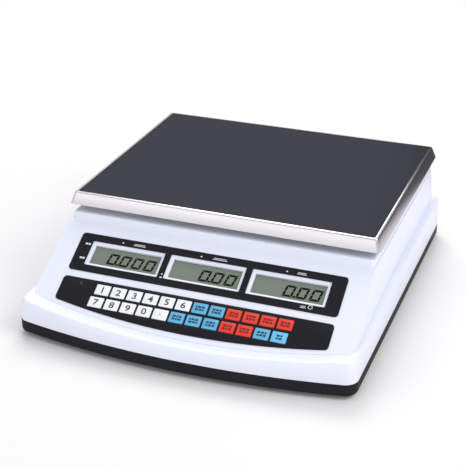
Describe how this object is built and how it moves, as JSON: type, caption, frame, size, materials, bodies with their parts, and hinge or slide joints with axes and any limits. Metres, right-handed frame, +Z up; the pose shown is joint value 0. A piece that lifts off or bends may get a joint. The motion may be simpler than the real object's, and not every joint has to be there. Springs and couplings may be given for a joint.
{
  "type": "counting scale",
  "caption": "Low table-top electronic scale with a flat lift-off platter, a sloping panel with three recessed number displays and a colour-coded keypad, on levelling feet.",
  "frame": {"origin": "on the table, under the centre of the overall box", "axes": "+X to the right as the user faces the keypad, +Y away from the user towards the back, +Z up"},
  "size_m": [0.366, 0.422, 0.1185],
  "materials": {
    "white_abs": "smooth moulded, satin",
    "black_abs": "moulded, fine texture",
    "black_film": "printed film, satin",
    "stainless_steel": "brushed",
    "dark_sheet": "satin",
    "aluminium": "machined",
    "rubber": "matte",
    "zinc_steel": "zinc plated",
    "circuit_board": "solder mask",
    "lcd_glass": "reflective display, satin front",
    "battery_case": "moulded",
    "key_white": "satin",
    "key_blue": "satin",
    "key_red": "satin"
  },
  "bodies": {
    "base": {"base_tray": "black_abs", "top_housing": "white_abs", "load_cell": "aluminium", "cell_spacer": "aluminium", "housing_screw_front_left": "zinc_steel", "housing_screw_front_right": "zinc_steel", "housing_screw_rear_left": "zinc_steel", "housing_screw_rear_right": "zinc_steel", "battery": "battery_case", "battery_door": "black_abs", "main_board": "circuit_board", "display_board": "circuit_board", "lcd_weight": "lcd_glass", "lcd_unit_price": "lcd_glass", "lcd_total": "lcd_glass", "display_overlay": "black_film", "keypad_overlay": "black_film", "keypad_board": "circuit_board", "power_inlet": "black_abs", "switch_body": "black_abs"},
    "load_platform": {"platter_support": "aluminium", "platter_pad_front_left": "rubber", "platter_pad_front_right": "rubber", "platter_pad_rear_left": "rubber", "platter_pad_rear_right": "rubber"},
    "platter": {"platter": "stainless_steel", "platter_mat": "dark_sheet"},
    "stud_front_left": {"foot_stud_front_left": "zinc_steel"},
    "foot_front_left": {"foot_pad_front_left": "rubber"},
    "stud_front_right": {"foot_stud_front_right": "zinc_steel"},
    "foot_front_right": {"foot_pad_front_right": "rubber"},
    "stud_rear_left": {"foot_stud_rear_left": "zinc_steel"},
    "foot_rear_left": {"foot_pad_rear_left": "rubber"},
    "stud_rear_right": {"foot_stud_rear_right": "zinc_steel"},
    "foot_rear_right": {"foot_pad_rear_right": "rubber"},
    "rocker": {"power_rocker": "black_abs"},
    "key_upper_1": {"key_upper_1": "key_white"},
    "key_upper_2": {"key_upper_2": "key_white"},
    "key_upper_3": {"key_upper_3": "key_white"},
    "key_upper_4": {"key_upper_4": "key_white"},
    "key_upper_5": {"key_upper_5": "key_white"},
    "key_upper_6": {"key_upper_6": "key_white"},
    "key_upper_7": {"key_upper_7": "key_blue"},
    "key_upper_8": {"key_upper_8": "key_blue"},
    "key_upper_9": {"key_upper_9": "key_red"},
    "key_upper_10": {"key_upper_10": "key_red"},
    "key_upper_11": {"key_upper_11": "key_red"},
    "key_upper_12": {"key_upper_12": "key_red"},
    "key_lower_1": {"key_lower_1": "key_white"},
    "key_lower_2": {"key_lower_2": "key_white"},
    "key_lower_3": {"key_lower_3": "key_white"},
    "key_lower_4": {"key_lower_4": "key_white"},
    "key_lower_5": {"key_lower_5": "key_white"},
    "key_lower_6": {"key_lower_6": "key_blue"},
    "key_lower_7": {"key_lower_7": "key_blue"},
    "key_lower_8": {"key_lower_8": "key_blue"},
    "key_lower_9": {"key_lower_9": "key_red"},
    "key_lower_10": {"key_lower_10": "key_red"},
    "key_lower_11": {"key_lower_11": "key_blue"},
    "key_lower_12": {"key_lower_12": "key_blue"}
  },
  "joints": [
    {"name": "load_deflection", "type": "slide", "parent": "base", "child": "load_platform", "axis": [0, 0, 1], "range_m": [-0.0005, 0], "stiffness_N_per_m": 20000, "springref_m": 0.0015},
    {"name": "platter_lift", "type": "slide", "parent": "load_platform", "child": "platter", "axis": [0, 0, 1], "range_m": [0, 0.05]},
    {"name": "foot_height_front_left", "type": "slide", "parent": "base", "child": "stud_front_left", "axis": [0, 0, -1], "range_m": [0, 0.006]},
    {"name": "foot_turn_front_left", "type": "hinge", "parent": "stud_front_left", "child": "foot_front_left", "pos_m": [-0.146, -0.16, 0], "axis": [0, 0, -1], "range_deg": [0, 1730]},
    {"name": "foot_height_front_right", "type": "slide", "parent": "base", "child": "stud_front_right", "axis": [0, 0, -1], "range_m": [0, 0.006]},
    {"name": "foot_turn_front_right", "type": "hinge", "parent": "stud_front_right", "child": "foot_front_right", "pos_m": [0.146, -0.16, 0], "axis": [0, 0, -1], "range_deg": [0, 1730]},
    {"name": "foot_height_rear_left", "type": "slide", "parent": "base", "child": "stud_rear_left", "axis": [0, 0, -1], "range_m": [0, 0.006]},
    {"name": "foot_turn_rear_left", "type": "hinge", "parent": "stud_rear_left", "child": "foot_rear_left", "pos_m": [-0.146, 0.172, 0], "axis": [0, 0, -1], "range_deg": [0, 1730]},
    {"name": "foot_height_rear_right", "type": "slide", "parent": "base", "child": "stud_rear_right", "axis": [0, 0, -1], "range_m": [0, 0.006]},
    {"name": "foot_turn_rear_right", "type": "hinge", "parent": "stud_rear_right", "child": "foot_rear_right", "pos_m": [0.146, 0.172, 0], "axis": [0, 0, -1], "range_deg": [0, 1730]},
    {"name": "rocker_tilt", "type": "hinge", "parent": "base", "child": "rocker", "pos_m": [0.076, 0.2087, 0.033], "axis": [0, 0, 1], "range_deg": [-16, 0]},
    {"name": "press_key_upper_1", "type": "slide", "parent": "base", "child": "key_upper_1", "axis": [0, -0.5105, 0.8599], "range_m": [-0.0005, 0], "stiffness_N_per_m": 2000, "springref_m": 0.0002},
    {"name": "press_key_upper_2", "type": "slide", "parent": "base", "child": "key_upper_2", "axis": [0, -0.5105, 0.8599], "range_m": [-0.0005, 0], "stiffness_N_per_m": 2000, "springref_m": 0.0002},
    {"name": "press_key_upper_3", "type": "slide", "parent": "base", "child": "key_upper_3", "axis": [0, -0.5105, 0.8599], "range_m": [-0.0005, 0], "stiffness_N_per_m": 2000, "springref_m": 0.0002},
    {"name": "press_key_upper_4", "type": "slide", "parent": "base", "child": "key_upper_4", "axis": [0, -0.5105, 0.8599], "range_m": [-0.0005, 0], "stiffness_N_per_m": 2000, "springref_m": 0.0002},
    {"name": "press_key_upper_5", "type": "slide", "parent": "base", "child": "key_upper_5", "axis": [0, -0.5105, 0.8599], "range_m": [-0.0005, 0], "stiffness_N_per_m": 2000, "springref_m": 0.0002},
    {"name": "press_key_upper_6", "type": "slide", "parent": "base", "child": "key_upper_6", "axis": [0, -0.5105, 0.8599], "range_m": [-0.0005, 0], "stiffness_N_per_m": 2000, "springref_m": 0.0002},
    {"name": "press_key_upper_7", "type": "slide", "parent": "base", "child": "key_upper_7", "axis": [0, -0.5105, 0.8599], "range_m": [-0.0005, 0], "stiffness_N_per_m": 2000, "springref_m": 0.0002},
    {"name": "press_key_upper_8", "type": "slide", "parent": "base", "child": "key_upper_8", "axis": [0, -0.5105, 0.8599], "range_m": [-0.0005, 0], "stiffness_N_per_m": 2000, "springref_m": 0.0002},
    {"name": "press_key_upper_9", "type": "slide", "parent": "base", "child": "key_upper_9", "axis": [0, -0.5105, 0.8599], "range_m": [-0.0005, 0], "stiffness_N_per_m": 2000, "springref_m": 0.0002},
    {"name": "press_key_upper_10", "type": "slide", "parent": "base", "child": "key_upper_10", "axis": [0, -0.5105, 0.8599], "range_m": [-0.0005, 0], "stiffness_N_per_m": 2000, "springref_m": 0.0002},
    {"name": "press_key_upper_11", "type": "slide", "parent": "base", "child": "key_upper_11", "axis": [0, -0.5105, 0.8599], "range_m": [-0.0005, 0], "stiffness_N_per_m": 2000, "springref_m": 0.0002},
    {"name": "press_key_upper_12", "type": "slide", "parent": "base", "child": "key_upper_12", "axis": [0, -0.5105, 0.8599], "range_m": [-0.0005, 0], "stiffness_N_per_m": 2000, "springref_m": 0.0002},
    {"name": "press_key_lower_1", "type": "slide", "parent": "base", "child": "key_lower_1", "axis": [0, -0.5105, 0.8599], "range_m": [-0.0005, 0], "stiffness_N_per_m": 2000, "springref_m": 0.0002},
    {"name": "press_key_lower_2", "type": "slide", "parent": "base", "child": "key_lower_2", "axis": [0, -0.5105, 0.8599], "range_m": [-0.0005, 0], "stiffness_N_per_m": 2000, "springref_m": 0.0002},
    {"name": "press_key_lower_3", "type": "slide", "parent": "base", "child": "key_lower_3", "axis": [0, -0.5105, 0.8599], "range_m": [-0.0005, 0], "stiffness_N_per_m": 2000, "springref_m": 0.0002},
    {"name": "press_key_lower_4", "type": "slide", "parent": "base", "child": "key_lower_4", "axis": [0, -0.5105, 0.8599], "range_m": [-0.0005, 0], "stiffness_N_per_m": 2000, "springref_m": 0.0002},
    {"name": "press_key_lower_5", "type": "slide", "parent": "base", "child": "key_lower_5", "axis": [0, -0.5105, 0.8599], "range_m": [-0.0005, 0], "stiffness_N_per_m": 2000, "springref_m": 0.0002},
    {"name": "press_key_lower_6", "type": "slide", "parent": "base", "child": "key_lower_6", "axis": [0, -0.5105, 0.8599], "range_m": [-0.0005, 0], "stiffness_N_per_m": 2000, "springref_m": 0.0002},
    {"name": "press_key_lower_7", "type": "slide", "parent": "base", "child": "key_lower_7", "axis": [0, -0.5105, 0.8599], "range_m": [-0.0005, 0], "stiffness_N_per_m": 2000, "springref_m": 0.0002},
    {"name": "press_key_lower_8", "type": "slide", "parent": "base", "child": "key_lower_8", "axis": [0, -0.5105, 0.8599], "range_m": [-0.0005, 0], "stiffness_N_per_m": 2000, "springref_m": 0.0002},
    {"name": "press_key_lower_9", "type": "slide", "parent": "base", "child": "key_lower_9", "axis": [0, -0.5105, 0.8599], "range_m": [-0.0005, 0], "stiffness_N_per_m": 2000, "springref_m": 0.0002},
    {"name": "press_key_lower_10", "type": "slide", "parent": "base", "child": "key_lower_10", "axis": [0, -0.5105, 0.8599], "range_m": [-0.0005, 0], "stiffness_N_per_m": 2000, "springref_m": 0.0002},
    {"name": "press_key_lower_11", "type": "slide", "parent": "base", "child": "key_lower_11", "axis": [0, -0.5105, 0.8599], "range_m": [-0.0005, 0], "stiffness_N_per_m": 2000, "springref_m": 0.0002},
    {"name": "press_key_lower_12", "type": "slide", "parent": "base", "child": "key_lower_12", "axis": [0, -0.5105, 0.8599], "range_m": [-0.0005, 0], "stiffness_N_per_m": 2000, "springref_m": 0.0002}
  ],
  "couplings": [
    {"joint": "foot_turn_front_left", "follows": "foot_height_front_left", "rad_per_m": 5026.6},
    {"joint": "foot_turn_front_right", "follows": "foot_height_front_right", "rad_per_m": 5026.6},
    {"joint": "foot_turn_rear_left", "follows": "foot_height_rear_left", "rad_per_m": 5026.6},
    {"joint": "foot_turn_rear_right", "follows": "foot_height_rear_right", "rad_per_m": 5026.6}
  ]
}
